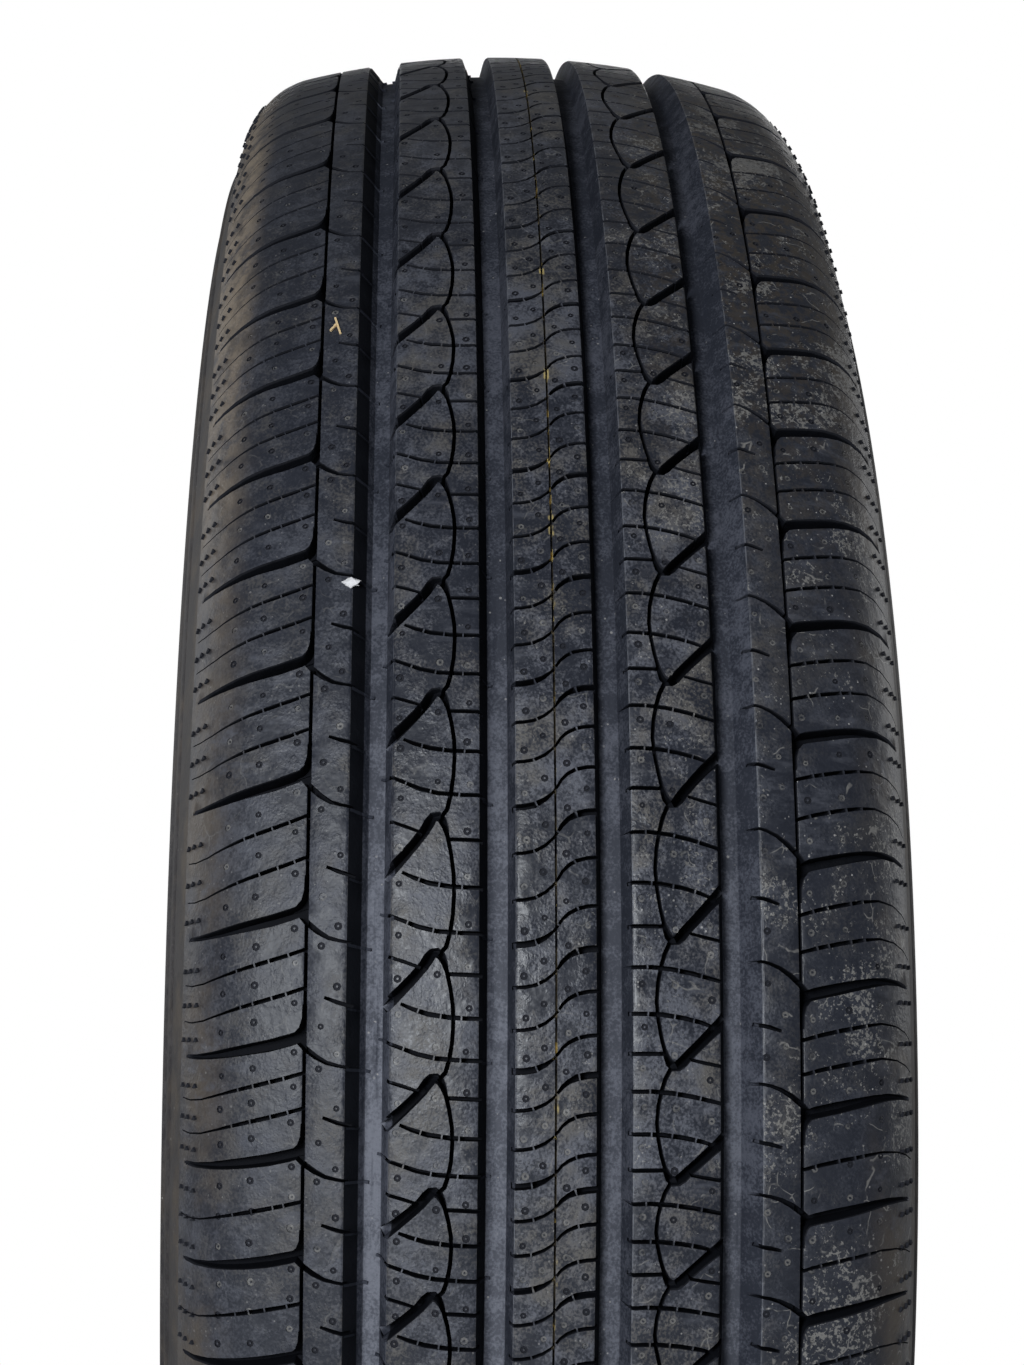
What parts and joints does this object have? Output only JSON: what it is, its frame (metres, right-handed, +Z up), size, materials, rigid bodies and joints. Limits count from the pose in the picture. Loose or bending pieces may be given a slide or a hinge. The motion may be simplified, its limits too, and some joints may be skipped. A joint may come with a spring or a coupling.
{
  "type": "car tyre",
  "caption": "Part-worn road tyre with ribbed tread, cross grooves over both shoulders, fine cuts and an open bead seat for a wheel rim.",
  "frame": {"origin": "centre of the wheel the tyre fits, on the spin axis, midway between the beads", "axes": "+Y along the spin axis, +Z up with the tyre standing on its tread"},
  "size_m": [0.572, 0.157, 0.5704],
  "materials": {
    "rubber": "matt moulded rubber, dusty grey on the ribs"
  },
  "bodies": {
    "root": {"tyre": "rubber"}
  },
  "joints": []
}
